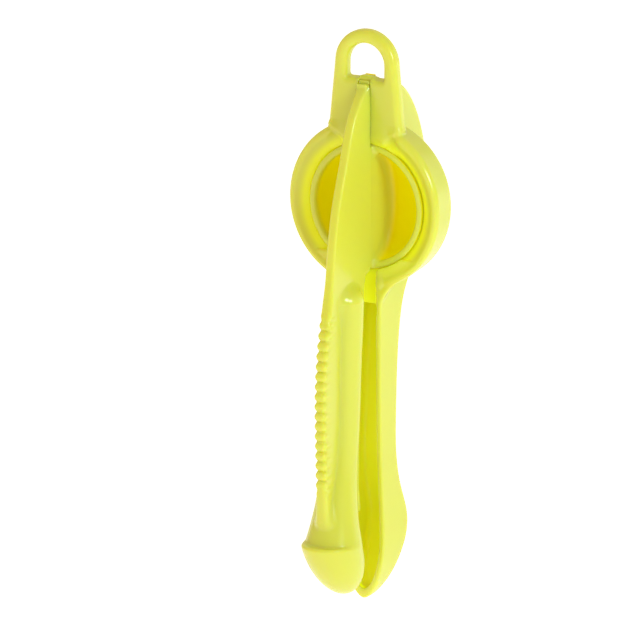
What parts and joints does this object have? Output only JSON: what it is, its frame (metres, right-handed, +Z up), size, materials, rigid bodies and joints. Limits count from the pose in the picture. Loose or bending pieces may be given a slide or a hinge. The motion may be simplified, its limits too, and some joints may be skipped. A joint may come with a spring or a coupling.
{
  "type": "citrus squeezer",
  "caption": "Hand-held plastic lemon squeezer: a cup arm with a hanging loop and channel handle, and a hooked press arm with a finned press bowl and ridged grip.",
  "frame": {"origin": "inner crown of the hanging loop, at the middle of the loop's thickness, where a hook carries the squeezer", "axes": "+Z up along the handles towards the loop, -Y to the front where the press arm opens, +X to the viewer's right when seen from the front"},
  "size_m": [0.062, 0.0704, 0.2116],
  "materials": {
    "yellow_plastic": "glossy moulded plastic, slightly translucent, bright lemon yellow"
  },
  "bodies": {
    "cup_arm": {"hang_loop": "yellow_plastic", "hinge_tang": "yellow_plastic", "hinge_bar": "yellow_plastic", "cup_collar": "yellow_plastic", "cup_wall": "yellow_plastic", "cup_floor": "yellow_plastic", "cup_spine": "yellow_plastic", "neck": "yellow_plastic", "handle_channel": "yellow_plastic", "handle_end": "yellow_plastic"},
    "press_arm": {"hinge_hook": "yellow_plastic", "press_fin": "yellow_plastic", "press_bowl": "yellow_plastic", "press_handle_core": "yellow_plastic", "grip_rib": "yellow_plastic", "press_handle_flare": "yellow_plastic", "press_handle_bulb": "yellow_plastic"}
  },
  "joints": [
    {"name": "arm_hinge", "type": "hinge", "parent": "cup_arm", "child": "press_arm", "pos_m": [0, 0, -0.0133], "axis": [-1, 0, 0], "range_deg": [0, 110]}
  ]
}
